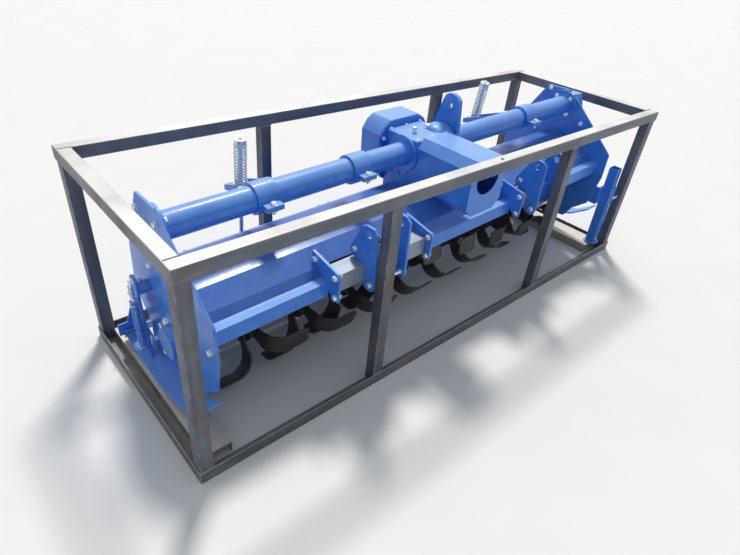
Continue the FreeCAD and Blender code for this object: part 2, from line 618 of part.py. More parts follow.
# Parking leg in its sleeve, with the arm to the side plate and the clamp screw
leg_x = face_right + LEG_OUT
leg_y = hitch_front + LEG_BACK
leg_low = (BEARER_TOP + HINGE_GAP - lift - (leg_x - LEG_FOOT_RADIUS) * math.sin(lean)) / math.cos(lean)
leg_base = leg_low + LEG_FOOT
leg_half = LEG_TUBE / 2
bore_half = leg_half - LEG_WALL


def about_leg(half, z0, z1):
    return box(leg_x - half, leg_x + half, leg_y - half, leg_y + half, z0, z1)


leg = about_leg(leg_half, leg_base, LEG_TOP).cut(about_leg(bore_half, leg_base, LEG_TOP))
foot = prism([V(x, y, leg_low) for x, y in many_sided(leg_x, leg_y, LEG_FOOT_RADIUS, 24)], V(0, 0, LEG_FOOT))
place("parking_leg", join([leg, foot]))
s_in = leg_half + SLEEVE_GAP
s_out = s_in + SLEEVE_WALL
sleeve = about_leg(s_out, SLEEVE_LOW, SLEEVE_HIGH)
arm = box(face_right, leg_x, leg_y + s_out - 12, leg_y + s_out, SLEEVE_LOW, SLEEVE_HIGH)
pad = box(face_right, face_right + PLATE, leg_y + s_out - 12, plate_front + 130, SLEEVE_LOW, SLEEVE_HIGH)
bracket = join([sleeve, arm, pad])
place("leg_bracket", bracket.cut(about_leg(s_in, SLEEVE_LOW, SLEEVE_HIGH)))
screw_face = leg_y - s_out
screw_z = (SLEEVE_LOW + SLEEVE_HIGH) / 2
stem = prism_y(many_sided(leg_x, screw_z, 7, 8), screw_face - 20, screw_face)
bar = prism_x(many_sided(screw_face - 16, screw_z, 5, 8), leg_x - 26, leg_x + 26)
place("leg_clamp_screw", join([stem, bar]))
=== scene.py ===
# %% [markdown]
# # A rotavator in its transport frame
# This lesson dresses a finished solid model: a tractor rotavator that stands in
# the welded frame it travels in. The solids already have the right shapes and
# sizes. Blender adds what a camera notices: rounded edges, paint, mill scale,
# rust, bolts, weld beads, coil springs and the smooth bent tines.

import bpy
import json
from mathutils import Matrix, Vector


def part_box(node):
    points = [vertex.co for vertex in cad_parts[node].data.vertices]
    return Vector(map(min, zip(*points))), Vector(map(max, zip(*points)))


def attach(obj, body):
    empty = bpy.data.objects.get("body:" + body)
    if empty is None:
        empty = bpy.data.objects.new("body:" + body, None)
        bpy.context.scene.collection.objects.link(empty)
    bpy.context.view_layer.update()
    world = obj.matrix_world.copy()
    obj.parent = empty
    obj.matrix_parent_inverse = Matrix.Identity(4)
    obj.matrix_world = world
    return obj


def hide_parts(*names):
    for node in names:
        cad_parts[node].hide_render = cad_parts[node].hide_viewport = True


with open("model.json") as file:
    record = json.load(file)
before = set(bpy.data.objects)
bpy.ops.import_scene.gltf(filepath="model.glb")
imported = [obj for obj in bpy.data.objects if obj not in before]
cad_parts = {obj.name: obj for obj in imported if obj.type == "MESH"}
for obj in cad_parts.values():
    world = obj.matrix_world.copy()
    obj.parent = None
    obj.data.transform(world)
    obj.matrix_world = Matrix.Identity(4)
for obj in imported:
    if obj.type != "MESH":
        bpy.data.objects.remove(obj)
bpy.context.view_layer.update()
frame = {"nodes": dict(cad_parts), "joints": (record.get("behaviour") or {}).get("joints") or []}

# %% [markdown]
# ## Where things are
# All of Blender's lengths are metres here. The frame is level, but the machine
# leans a little: its left skid lies on a bearer and a parking leg lifts the
# other end. The rotor's axis tells both the lean and the place, so the machine
# gets its own three directions, and its pieces are placed in millimetres from
# the middle of its width, the rotor's axis and the skids' soles.

# %% The machine's own directions
import bpy
import bmesh
import json
import math
from mathutils import Matrix, Vector

joints = {joint["name"]: joint for joint in frame["joints"]}
ROTOR_UP = 227.0
MM = 0.001
RIGHT = Vector(joints["rotor_spin"]["axis"]).normalized()
REAR = Vector((0, 1, 0))
UP = RIGHT.cross(REAR)
SOLES = Vector(joints["rotor_spin"]["pos_m"]) - ROTOR_UP * MM * UP


def machine(x, y, z):
    """A point in millimetres about the machine, as metres in the scene."""
    return SOLES + MM * (x * RIGHT + y * REAR + z * UP)


MACHINE = Matrix.Translation(SOLES) @ Matrix((RIGHT, REAR, UP)).transposed().to_4x4()
print("the machine leans", round(math.degrees(math.asin(RIGHT.z)), 2), "degrees")

# %% [markdown]
# ## The camera
# A photograph taken from standing height, close to one end, looks down and
# stretches the near end. A short lens does the same. The camera's place, its
# three directions and the lens are enough to give Blender the same view.

# %% Camera
CAMERA_AT = Vector((-1.767, -1.562, 1.632))
CAMERA_RIGHT = Vector((0.74847, -0.65746, 0.08679))
CAMERA_UP = Vector((0.32086, 0.47356, 0.82024))
lens = bpy.data.cameras.new("photo_camera")
lens.lens = 26.095
lens.sensor_width = 36.0
lens.clip_start = 0.05
lens.clip_end = 200.0
camera = bpy.data.objects.new("photo_camera", lens)
bpy.context.scene.collection.objects.link(camera)
turn = Matrix((CAMERA_RIGHT, CAMERA_UP, CAMERA_RIGHT.cross(CAMERA_UP))).transposed()
camera.matrix_world = Matrix.Translation(CAMERA_AT) @ turn.to_4x4()
bpy.context.scene.camera = camera
print("camera height", round(CAMERA_AT.z, 2), "m, lens", lens.lens, "mm")

# %% [markdown]
# ## Small tools for materials
# A shader is a tree of nodes, and short helpers keep the trees readable. `put`
# adds a node and fills its inputs, and `laid_on` lays one colour over another
# where a mask says so. `effect` starts a group and `use` puts one down: a group
# is an effect made once, with named inputs, that several materials share.

# %% Helpers for shader nodes
def put(tree, kind, inputs, **settings):
    """Adds a shader node. An input is a value or another node's output."""
    made = tree.nodes.new("ShaderNode" + kind)
    for name, value in settings.items():
        setattr(made, name, value)
    for name, value in inputs.items():
        if isinstance(value, bpy.types.NodeSocket):
            tree.links.new(value, made.inputs[name])
        else:
            made.inputs[name].default_value = value
    return made


def mixed(tree, share, first, second):
    return put(tree, "Mix", {0: share, 6: first, 7: second}, data_type="RGBA").outputs[2]


def sums(tree, operation, a, b=0.0):
    return put(tree, "Math", {0: a, 1: b}, operation=operation).outputs[0]


def laid_on(tree, mask, strength, under, over):
    """Lays one colour over another where the mask says, at some strength."""
    return mixed(tree, sums(tree, "MULTIPLY", mask, strength), under, over)


def spread(tree, value, low, high, to_low=0.0, to_high=1.0):
    """Stretches a value so that low gives to_low and high gives to_high."""
    limits = {"Value": value, "From Min": low, "From Max": high, "To Min": to_low, "To Max": to_high}
    return put(tree, "MapRange", limits).outputs[0]


def effect(name, inputs, outputs):
    """Starts a shader node group and returns it with its two end nodes."""
    group = bpy.data.node_groups.new(name, "ShaderNodeTree")
    for label, value in inputs.items():
        socket = group.interface.new_socket(name=label, in_out="INPUT", socket_type="NodeSocketFloat")
        socket.default_value = value
    for label in outputs:
        group.interface.new_socket(name=label, in_out="OUTPUT", socket_type="NodeSocketFloat")
    return group, group.nodes.new("NodeGroupInput"), group.nodes.new("NodeGroupOutput")


def use(tree, group, **values):
    made = tree.nodes.new("ShaderNodeGroup")
    made.node_tree = group
    for label, value in values.items():
        made.inputs[label].default_value = value
    return made


# %% [markdown]
# ## Wear, dust with painted highlight, and grain
# Paint rubs off where plates meet and people grip, which is along edges. The
# Bevel node gives the normal that a rounded edge would have; where it differs
# from the true normal, there is an edge. Noise breaks the line up, because no
# edge wears evenly.

# %% Group: worn edges
worn_edges, enter, leave = effect("Worn edges", {"Width": 0.004, "Breakup": 40.0, "Amount": 1.0}, ["Mask"])
rounded = put(worn_edges, "Bevel", {"Radius": enter.outputs["Width"]}, samples=4)
surface = put(worn_edges, "NewGeometry", {})
same = put(worn_edges, "VectorMath", {0: rounded.outputs[0], 1: surface.outputs["Normal"]},
           operation="DOT_PRODUCT")
edge = spread(worn_edges, same.outputs["Value"], 0.995, 0.90)
place = put(worn_edges, "TexCoord", {}).outputs["Object"]
noise = put(worn_edges, "TexNoise",
            {"Vector": place, "Scale": enter.outputs["Breakup"], "Detail": 4.0}).outputs[0]
edge = sums(worn_edges, "MULTIPLY", edge, spread(worn_edges, noise, 0.38, 0.62))
worn_edges.links.new(sums(worn_edges, "MULTIPLY", edge, enter.outputs["Amount"]), leave.inputs["Mask"])
print("group made:", worn_edges.name)

# %% [markdown]
# Dust settles on what faces the sky, and the same faces take a painted highlight:
# a paler colour that stands in for the sun and sky on the tops. The upward part of
# the normal tells where, and a broad noise leaves some places cleaner than others.

# %% Group: dust and painted top highlight
upward_dust_and_highlight, enter, leave = effect("Dust and top highlight", {"Amount": 0.5, "Patches": 5.0}, ["Mask"])
facing = put(upward_dust_and_highlight, "SeparateXYZ", {0: put(upward_dust_and_highlight, "NewGeometry", {}).outputs["Normal"]})
level = spread(upward_dust_and_highlight, facing.outputs["Z"], 0.35, 1.0)
place = put(upward_dust_and_highlight, "TexCoord", {}).outputs["Object"]
noise = put(upward_dust_and_highlight, "TexNoise",
            {"Vector": place, "Scale": enter.outputs["Patches"], "Detail": 6.0}).outputs[0]
level = sums(upward_dust_and_highlight, "MULTIPLY", level, spread(upward_dust_and_highlight, noise, 0.25, 0.65, 0.45, 1.0))
upward_dust_and_highlight.links.new(sums(upward_dust_and_highlight, "MULTIPLY", level, enter.outputs["Amount"]), leave.inputs["Mask"])
print("group made:", upward_dust_and_highlight.name)

# %% [markdown]
# Grain is the small unevenness of a surface: orange peel in powder coat, pits in
# mill scale. One output shades the colour a little, the other is a height for a
# Bump node. Blotches are the same idea at a larger scale, cut off to islands.

# %% Groups: grain and blotches
grain, enter, leave = effect("Grain", {"Scale": 300.0, "Roughness": 0.5}, ["Shade", "Height"])
place = put(grain, "TexCoord", {}).outputs["Object"]
fine = put(grain, "TexNoise", {"Vector": place, "Scale": enter.outputs["Scale"], "Detail": 3.0,
                               "Roughness": enter.outputs["Roughness"]}).outputs[0]
wide = sums(grain, "MULTIPLY", enter.outputs["Scale"], 0.04)
broad = put(grain, "TexNoise", {"Vector": place, "Scale": wide, "Detail": 4.0}).outputs[0]
grain.links.new(broad, leave.inputs["Shade"])
grain.links.new(fine, leave.inputs["Height"])

blotches, enter, leave = effect("Blotches", {"Scale": 9.0, "Cover": 0.4, "Softness": 0.08}, ["Mask"])
place = put(blotches, "TexCoord", {}).outputs["Object"]
cloud = put(blotches, "TexNoise", {"Vector": place, "Scale": enter.outputs["Scale"], "Detail": 7.0,
                                   "Roughness": 0.62, "Distortion": 0.4}).outputs[0]
start = sums(blotches, "SUBTRACT", 1.0, enter.outputs["Cover"])
end = sums(blotches, "ADD", start, enter.outputs["Softness"])
blotches.links.new(spread(blotches, cloud, start, end), leave.inputs["Mask"])
print("groups made:", grain.name, "and", blotches.name)

# %% [markdown]
# Rain and rust run down upright steel. Stretching a noise along Z makes runs;
# stretching it along X instead makes the drawn lines of a rolled bar.

# %% Group: drawn lines
drawn_lines, enter, leave = effect("Drawn lines", {"Along X": 2.0, "Along Y": 60.0, "Along Z": 60.0},
                                   ["Mask"])
stretch = put(drawn_lines, "CombineXYZ", {0: enter.outputs[0], 1: enter.outputs[1], 2: enter.outputs[2]})
place = put(drawn_lines, "TexCoord", {}).outputs["Object"]
scaled = put(drawn_lines, "VectorMath", {0: place, 1: stretch.outputs[0]}, operation="MULTIPLY")
noise = put(drawn_lines, "TexNoise", {"Vector": scaled.outputs[0], "Scale": 1.0, "Detail": 5.0}).outputs[0]
drawn_lines.links.new(spread(drawn_lines, noise, 0.35, 0.65), leave.inputs["Mask"])


def use_lines(tree, along):
    """Puts the drawn lines down with their scale along X, Y and Z."""
    made = use(tree, drawn_lines)
    for number, value in enumerate(along):
        made.inputs[number].default_value = value
    return made.outputs["Mask"]


print("group made:", drawn_lines.name)

# %% [markdown]
# ## Blue paint
# The machine is sprayed a glossy royal blue over steel plate. Two near blues
# mixed by broad noise keep it from looking like plastic, a clear coat gives the
# gloss, and a faint orange peel and grey specks make it a real coat of paint
# that stood in a yard. A pale sky blue on the faces that look up is a painted
# highlight with a little dust, a paler blue along the edges is a painted edge
# highlight, and the darker copy for the hood is painted shade.

# %% Material: blue paint
def start_material(name):
    made = bpy.data.materials.new(name)
    made.use_nodes = True
    return made, made.node_tree, made.node_tree.nodes["Principled BSDF"]


def set_bump(tree, skin, height, strength, distance):
    bump = put(tree, "Bump", {"Height": height, "Strength": strength, "Distance": distance})
    tree.links.new(bump.outputs[0], skin.inputs["Normal"])


def blue_paint(name, first, second, dust_and_highlight_amount):
    made, tree, skin = start_material(name)
    peel = use(tree, grain, Scale=420.0, Roughness=0.45)
    dust_and_highlight = use(tree, upward_dust_and_highlight, Amount=dust_and_highlight_amount, Patches=4.0)
    edges = use(tree, worn_edges, Width=0.0035, Breakup=30.0, Amount=0.75)
    specks = use(tree, blotches, Scale=70.0, Cover=0.34, Softness=0.05)
    smears = use_lines(tree, (22.0, 22.0, 3.0))
    colour = mixed(tree, spread(tree, peel.outputs["Shade"], 0.3, 0.7), first, second)
    colour = laid_on(tree, smears, 0.10, colour, (0.10, 0.24, 0.66, 1))
    # painted highlight: a pale sky blue on the faces that look up, with a little dust
    colour = mixed(tree, dust_and_highlight.outputs["Mask"], colour, (0.34, 0.56, 0.92, 1))
    colour = laid_on(tree, specks.outputs["Mask"], 0.10, colour, (0.36, 0.42, 0.48, 1))
    # painted edge highlight: a paler blue laid along the edges
    colour = laid_on(tree, edges.outputs["Mask"], 0.55, colour, (0.26, 0.42, 0.78, 1))
    tree.links.new(colour, skin.inputs["Base Color"])
    rough = sums(tree, "ADD", spread(tree, peel.outputs["Shade"], 0.3, 0.7, 0.27, 0.36),
                 sums(tree, "MULTIPLY", dust_and_highlight.outputs["Mask"], 0.35))
    tree.links.new(rough, skin.inputs["Roughness"])
    skin.inputs["Specular IOR Level"].default_value = 0.4
    skin.inputs["Coat Weight"].default_value = 0.2
    skin.inputs["Coat Roughness"].default_value = 0.12
    set_bump(tree, skin, peel.outputs["Height"], 0.12, 0.0006)
    return made


paint = blue_paint("blue_paint", (0.031, 0.174, 0.655, 1), (0.047, 0.232, 0.775, 1), 0.58)
# a darker copy of the same paint: painted shade for the inside of the hood
shaded_blue_paint = blue_paint("blue_paint_painted_shade", (0.014, 0.095, 0.42, 1), (0.022, 0.125, 0.50, 1), 0.15)
print("paints:", paint.name, shaded_blue_paint.name)

# %% [markdown]
# ## Black tines
# New tines are dipped in thin satin black. Their edges show brown steel where
# they knocked together, and earth dust greys the faces that look up.

# %% Material: black tine steel
tine_steel, tree, skin = start_material("black_tine_steel")
pits = use(tree, grain, Scale=260.0, Roughness=0.6)
dust_and_highlight = use(tree, upward_dust_and_highlight, Amount=0.22, Patches=9.0)
edges = use(tree, worn_edges, Width=0.003, Breakup=55.0, Amount=0.8)
rust = use(tree, blotches, Scale=24.0, Cover=0.40, Softness=0.10)
colour = mixed(tree, pits.outputs["Shade"], (0.010, 0.010, 0.011, 1), (0.026, 0.026, 0.028, 1))
colour = laid_on(tree, rust.outputs["Mask"], 0.28, colour, (0.055, 0.038, 0.026, 1))
colour = mixed(tree, dust_and_highlight.outputs["Mask"], colour, (0.17, 0.145, 0.115, 1))
colour = laid_on(tree, edges.outputs["Mask"], 0.5, colour, (0.10, 0.085, 0.072, 1))
tree.links.new(colour, skin.inputs["Base Color"])
tree.links.new(spread(tree, pits.outputs["Shade"], 0.3, 0.7, 0.36, 0.58), skin.inputs["Roughness"])
set_bump(tree, skin, pits.outputs["Height"], 0.25, 0.0008)
print("material made:", tine_steel.name)

# %% [markdown]
# ## Mill-scale steel of the frame
# The frame is bare hot-rolled tube. Mill scale is a blue-grey skin with brown
# bloom where rain got in. The tops are dusty and painted paler, near white on the
# rails as painted sunlit glare; uprights carry runs of rust, and the corners of
# the tube rub bright.

# %% Material: frame steel
def scale_steel(name, dark, light, top, dust_and_highlight_amount, rust_cover, streaks):
    made, tree, skin = start_material(name)
    pits = use(tree, grain, Scale=190.0, Roughness=0.65)
    dust_and_highlight = use(tree, upward_dust_and_highlight, Amount=dust_and_highlight_amount, Patches=3.5)
    edges = use(tree, worn_edges, Width=0.005, Breakup=26.0, Amount=0.9)
    rust = use(tree, blotches, Scale=7.0, Cover=rust_cover, Softness=0.16)
    patches = use(tree, blotches, Scale=3.2, Cover=0.52, Softness=0.20)
    runs = use_lines(tree, streaks)
    colour = mixed(tree, patches.outputs["Mask"], dark, light)
    colour = laid_on(tree, pits.outputs["Shade"], 0.5, colour, light)
    stain = sums(tree, "MULTIPLY", rust.outputs["Mask"], sums(tree, "ADD", runs, 0.25))
    colour = laid_on(tree, stain, 0.85, colour, (0.125, 0.068, 0.046, 1))
    colour = laid_on(tree, runs, 0.34, colour, (0.215, 0.235, 0.275, 1))
    # faces that look up turn to the top colour: dust, and on the rails near-white painted sunlit glare
    colour = mixed(tree, dust_and_highlight.outputs["Mask"], colour, top)
    colour = laid_on(tree, edges.outputs["Mask"], 0.75, colour, (0.56, 0.56, 0.55, 1))
    tree.links.new(colour, skin.inputs["Base Color"])
    rough = sums(tree, "ADD", spread(tree, pits.outputs["Shade"], 0.3, 0.7, 0.40, 0.55),
                 sums(tree, "MULTIPLY", stain, 0.25))
    tree.links.new(rough, skin.inputs["Roughness"])
    skin.inputs["Metallic"].default_value = 0.25
    set_bump(tree, skin, pits.outputs["Height"], 0.3, 0.0008)
    return made


# the rails' near-white tops are dust and painted sunlit glare
rail_steel = scale_steel(
    "frame_rail_steel", dark=(0.066, 0.080, 0.112, 1), light=(0.160, 0.172, 0.200, 1),
    top=(0.78, 0.77, 0.75, 1), dust_and_highlight_amount=1.0, rust_cover=0.46, streaks=(3.0, 3.0, 30.0))
post_steel = scale_steel(
    "frame_post_steel", dark=(0.038, 0.048, 0.074, 1), light=(0.125, 0.136, 0.168, 1),
    top=(0.45, 0.42, 0.38, 1), dust_and_highlight_amount=0.6, rust_cover=0.50, streaks=(30.0, 30.0, 1.6))
base_steel = scale_steel(
    "frame_base_steel", dark=(0.056, 0.068, 0.086, 1), light=(0.150, 0.160, 0.172, 1),
    top=(0.36, 0.34, 0.30, 1), dust_and_highlight_amount=0.8, rust_cover=0.48, streaks=(3.0, 3.0, 40.0))
bearer_steel = scale_steel(
    "bearer_steel", dark=(0.33, 0.30, 0.25, 1), light=(0.52, 0.48, 0.41, 1),
    top=(0.70, 0.65, 0.56, 1), dust_and_highlight_amount=0.9, rust_cover=0.44, streaks=(20.0, 3.0, 20.0))
print("steels:", rail_steel.name, post_steel.name, base_steel.name, bearer_steel.name)

# %% [markdown]
# ## Bare bar, zinc, shaft and weld
# The square bar in the hitch is bright rolled steel with lines along its length.
# Bolts and spring rods are zinc plated, a little blue and uneven. The input
# shaft is turned, so its lines run round it. A weld bead is dark blue-brown.

# %% Materials: bright metals
def bright_metal(name, first, second, roughness, metallic, lines, bump):
    made, tree, skin = start_material(name)
    cloud = use(tree, grain, Scale=320.0, Roughness=0.6)
    drawn = use_lines(tree, lines)
    stain = use(tree, blotches, Scale=40.0, Cover=0.42, Softness=0.15)
    colour = mixed(tree, cloud.outputs["Shade"], first, second)
    colour = laid_on(tree, stain.outputs["Mask"], 0.18, colour, (0.30, 0.25, 0.18, 1))
    colour = laid_on(tree, drawn, 0.20, colour, second)
    tree.links.new(colour, skin.inputs["Base Color"])
    rough = spread(tree, drawn, 0.0, 1.0, roughness, roughness + 0.14)
    tree.links.new(rough, skin.inputs["Roughness"])
    skin.inputs["Metallic"].default_value = metallic
    set_bump(tree, skin, drawn, bump, 0.0004)
    return made


bar_steel = bright_metal(
    "bare_bar_steel", (0.22, 0.26, 0.33, 1), (0.34, 0.38, 0.44, 1),
    roughness=0.34, metallic=0.45, lines=(3, 90, 90), bump=0.12)
zinc = bright_metal(
    "zinc_plate", (0.62, 0.69, 0.76, 1), (0.80, 0.85, 0.90, 1),
    roughness=0.24, metallic=0.75, lines=(120, 120, 120), bump=0.10)
spring_zinc = bright_metal(
    "zinc_spring", (0.60, 0.70, 0.78, 1), (0.74, 0.82, 0.88, 1),
    roughness=0.36, metallic=0.35, lines=(90, 90, 90), bump=0.05)
shaft_steel = bright_metal(
    "turned_shaft_steel", (0.42, 0.43, 0.44, 1), (0.60, 0.60, 0.60, 1),
    roughness=0.26, metallic=0.9, lines=(30, 400, 30), bump=0.15)
weld_steel = bright_metal(
    "weld_bead_steel", (0.10, 0.10, 0.12, 1), (0.22, 0.19, 0.16, 1),
    roughness=0.42, metallic=0.5, lines=(90, 90, 90), bump=0.3)
print("metals:", bar_steel.name, zinc.name, shaft_steel.name, weld_steel.name)

# %% [markdown]
# ## A finish for each solid
# A folded or rolled edge is never razor sharp: sheet has a small radius, and the
# larger one of square tube is what makes it read as tube. The table says which
# material and which radius go to which solids. The first row whose name fits
# counts, so the last row, with no name, takes all that are left.

# %% Finishes and edge radii
FINISH = [
    # start of the name, material, edge radius in mm, angle that counts as an edge
    ("frame_top", rail_steel, 4.0, 30),
    ("frame_post", post_steel, 4.0, 30),
    ("frame_base", base_steel, 1.5, 30),
    ("bearer", bearer_steel, 3.0, 30),
    ("beam_bare", bar_steel, 3.0, 30),
    ("beam", paint, 2.0, 30),
    # the hood takes the darker copy of the paint: painted shade
    ("hood", shaded_blue_paint, 0.8, 14),
    ("tailgate", paint, 0.8, 28),
    ("side_plate", paint, 1.2, 30),
    ("input_shaft", shaft_steel, 1.0, 30),
    ("rotor_shaft", tine_steel, 1.2, 30),
    ("tine_flanges", tine_steel, 1.2, 30),
    ("tines", tine_steel, 0.8, 30),
    ("spring_rod", zinc, 1.0, 32),
    ("spring_left", zinc, 1.0, 30),
    ("spring_right", zinc, 1.0, 30),
    ("spring_arm", paint, 1.2, 30),
    ("leg_clamp_screw", zinc, 0.8, 50),
    ("gearbox_rear_cover", paint, 9.0, 30),
    ("gearbox", paint, 3.0, 30),
    ("input_guard", paint, 5.0, 28),
    ("", paint, 1.5, 30),
]
print("finishes:", len(FINISH))

# %% [markdown]
# Each solid keeps its mesh. A Weld modifier joins the corner points that the
# file stores twice, so that a Bevel modifier can round the edges between them,
# and smooth shading with hardened normals keeps the flat faces flat.

# %% Dress the solids
def round_edges(piece, radius, segments=2, angle=40, harden=True):
    """Rounds the edges sharper than an angle in degrees, by a radius in mm."""
    edges = piece.modifiers.new("round_edges", "BEVEL")
    edges.width = radius * MM
    edges.segments = segments
    edges.limit_method = "ANGLE"
    edges.angle_limit = math.radians(angle)
    edges.harden_normals = harden


def dress(node, material, radius, angle):
    node.data.materials.clear()
    node.data.materials.append(material)
    if node.data.has_custom_normals:
        bpy.context.view_layer.objects.active = node
        bpy.ops.mesh.customdata_custom_splitnormals_clear()
    node.data.shade_smooth()
    join = node.modifiers.new("join_corners", "WELD")
    join.merge_threshold = 0.00002
    round_edges(node, radius, 3 if radius >= 2 else 2, angle)


for name, node in frame["nodes"].items():
    material, radius, angle = next(rest for start, *rest in FINISH if name.startswith(start))
    dress(node, material, radius, angle)
print("dressed", len(frame["nodes"]), "solids")

# %% [markdown]
# ## Tools for added pieces
# Everything round on this machine is either turned on a lathe or bent from rod,
# and its blades are drawn out from one section. To a mesh, all three are rings
# of points, one after another, with a skin over them. `turned` spins a profile
# round an axis, and `swept` runs a round section along a path.

# %% Helpers: turned and swept shapes
def circle(radius, count):
    """That many points, evenly round a circle."""
    angles = [2 * math.pi * k / count for k in range(count)]
    return [(radius * math.cos(a), radius * math.sin(a)) for a in angles]


def skin_over(bm, rings, closed=False):
    """Joins rings of points, and caps both ends unless the last meets the first."""
    for low, high in zip(rings, rings[1:] + (rings[:1] if closed else [])):
        for k in range(len(low)):
            n = (k + 1) % len(low)
            bm.faces.new((low[k], low[n], high[n], high[k]))
    if not closed:
        bm.faces.new(rings[0][::-1])
        bm.faces.new(rings[-1])


def turned(bm, profile, at, axis, sides=20):
    """Spins pairs of place along and radius, in mm, round an axis from a point."""
    spin = Matrix.Translation(at) @ axis.to_track_quat("Z", "Y").to_matrix().to_4x4()
    skin_over(bm, [[bm.verts.new(spin @ Vector((a * MM, b * MM, along * MM))) for a, b in circle(radius, sides)]
                   for along, radius in profile])


def swept(bm, points, radii, sides=8, ring=False):
    """Runs a round section along points in metres, with a radius in mm at each."""
    rings = []
    side = None
    last = len(points) - 1
    for k, point in enumerate(points):
        after = points[(k + 1) % len(points)] if ring else points[min(k + 1, last)]
        before = points[k - 1] if ring else points[max(k - 1, 0)]
        ahead = (after - before).normalized()
        if side is None:
            side = ahead.orthogonal().normalized()
        else:
            side = (side - ahead * side.dot(ahead)).normalized()
        other = ahead.cross(side)
        rings.append([bm.verts.new(point + MM * (a * side + b * other)) for a, b in circle(radii[k], sides)])
    skin_over(bm, rings, closed=ring)


print("a circle of 10 mm in four points:", [(round(a), round(b)) for a, b in circle(10, 4)])

# %% [markdown]
# A piece is finished in one place. Its sharp edges are set by angle, it gets its
# material and it rides with the body that carries it, so that it moves with the
# joint. Most pieces are blue and bolted to the chassis, so that is what a piece
# gets when nothing else is said. A cut plate also gets rounded edges.

# %% Helper: a finished piece
def make_piece(name, bm, material=paint, body="chassis", sharp=35, edge=0.0):
    """Makes a piece of a mesh; edge rounds its edges by that many millimetres."""
    bmesh.ops.recalc_face_normals(bm, faces=bm.faces)
    mesh = bpy.data.meshes.new(name)
    bm.to_mesh(mesh)
    bm.free()
    mesh.materials.append(material)
    mesh.shade_smooth()
    mesh.set_sharp_from_angle(angle=math.radians(sharp))
    piece = bpy.data.objects.new(name, mesh)
    bpy.context.scene.collection.objects.link(piece)
    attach(piece, body)
    if edge:
        round_edges(piece, edge)
    print(name, "has", len(mesh.polygons), "faces")
    return piece


# %% [markdown]
# ## The tines
# The hooked tines are the heart of the machine: a flat blade, bent through a
# right angle over a generous radius, with one edge ground thin. The solid model
# has them with a few flats, so here each is lofted smoothly through the same
# stations: a straight root, the bend in small steps and the wide foot. Left and
# right blades are mirror images, three of each on every disc.

# %% Where a blade's face runs
BLADE_REACH = 165.0
BEND = 80.0
BEND_STEPS = 14
THICK = 8.0
GROUND = 17.0
ROUNDED = 1.2
ROOT_HALF = 31.0
FOOT_HEIGHT = 237.8
BEND_CENTRE = FOOT_HEIGHT - BEND


def blade_edges(z):
    """How far the blade's front and rear edges lie from its middle, at height z."""
    grow = min(max((z - 115.0) / 55.0, 0.0), 1.0)
    grow = grow * grow * (3 - 2 * grow)
    tip = min(max((z - 170.0) / 70.0, 0.0), 1.0)
    return -ROOT_HALF - 4.0 * grow + 7.0 * tip, ROOT_HALF + 20.0 * grow + 7.0 * tip


def blade_stations():
    """Points on the outer face with the way inward, and how much the end narrows."""
    found = [(0.0, z, 1.0, 0.0, 0.0) for z in (62.0, 80.0, 100.0, 120.0, 140.0)]
    for k in range(BEND_STEPS + 1):
        a = math.radians(90.0 * k / BEND_STEPS)
        inward = (math.cos(a), -math.sin(a))
        found.append((BEND - BEND * inward[0], BEND_CENTRE - BEND * inward[1], *inward, 0.0))
    for x, narrow in ((100.0, 0.0), (125.0, 0.0), (145.0, 2.0), (157.0, 6.0), (BLADE_REACH, 13.0)):
        found.append((x, FOOT_HEIGHT, 0.0, -1.0, narrow))
    return found


front, rear = blade_edges(FOOT_HEIGHT)
print("a blade has", len(blade_stations()), "stations and its foot is", round(rear - front), "mm wide")

# %% [markdown]
# At every station stands the same section: a flat bar whose front edge is ground
# thin and whose rear edge is a little rounded. The skin over all of them is the
# blade.

# %% One tine blade
def blade_section(front, rear):
    """Points (y, depth) round the section: ground thin in front, rounded behind."""
    return [(front, 0.8), (front + ROUNDED, 0), (rear - ROUNDED, 0), (rear, ROUNDED),
            (rear, THICK - ROUNDED), (rear - ROUNDED, THICK), (front + GROUND, THICK), (front, 2.4)]


def blade_mesh(hand):
    bm = bmesh.new()
    rings = []
    for x, z, in_x, in_z, narrow in blade_stations():
        front, rear = blade_edges(z)
        rings.append([bm.verts.new(Vector((hand * (x + in_x * depth), y, z + in_z * depth)) * MM)
                      for y, depth in blade_section(front + narrow, rear - narrow)])
    skin_over(bm, rings)
    mesh = bpy.data.meshes.new("one_blade")
    bm.to_mesh(mesh)
    bm.free()
    return mesh


blades = {1: blade_mesh(1), -1: blade_mesh(-1)}
print("a blade has", len(blades[1].vertices), "points")

# %% [markdown]
# ## Bolt heads and nuts
# A bolt reads as one by its washer, its six flats and the corners turned off its
# top. On the other side of the plate are the nut and the last turns of thread.
# Each is turned from a short profile, and a hexagon is a turning with six sides.

# %% Helpers: a bolt head and a nut
HEX = 2 / math.sqrt(3)


def bolt_head(bm, at, axis, size):
    """A washer and a hexagon head with its corners turned off."""
    washer = [(0, size * 1.05), (size * 0.17, size * 1.05), (size * 0.19, size * 0.98)]
    turned(bm, washer, at, axis, 16)
    half = size * 0.8 * HEX
    turned(bm, [(size * 0.18, half), (size * 0.68, half), (size * 0.82, half * 0.84)], at, axis, 6)


def nut_end(bm, at, axis, size):
    """A washer, a nut and the end of the thread."""
    bolt_head(bm, at, axis, size)
    thread = [(size * 0.8, size * 0.5)]
    for crest in range(3):
        thread += [(size * (0.9 + 0.14 * crest), size * 0.44), (size * (0.97 + 0.14 * crest), size * 0.5)]
    thread.append((size * 1.4, size * 0.38))
    turned(bm, thread, at, axis, 10)


print("a head of size 12 is", round(2 * 12 * 0.8), "mm across its flats")

# %% [markdown]
# ## The whole set of tines
# Nine discs are spaced evenly along the rotor, and each is turned nine degrees
# from the last, so that the blades enter the soil one after another. A blade is
# copied into its place by one matrix: along the rotor, then round its axis. Two
# bolts hold each blade to its disc.

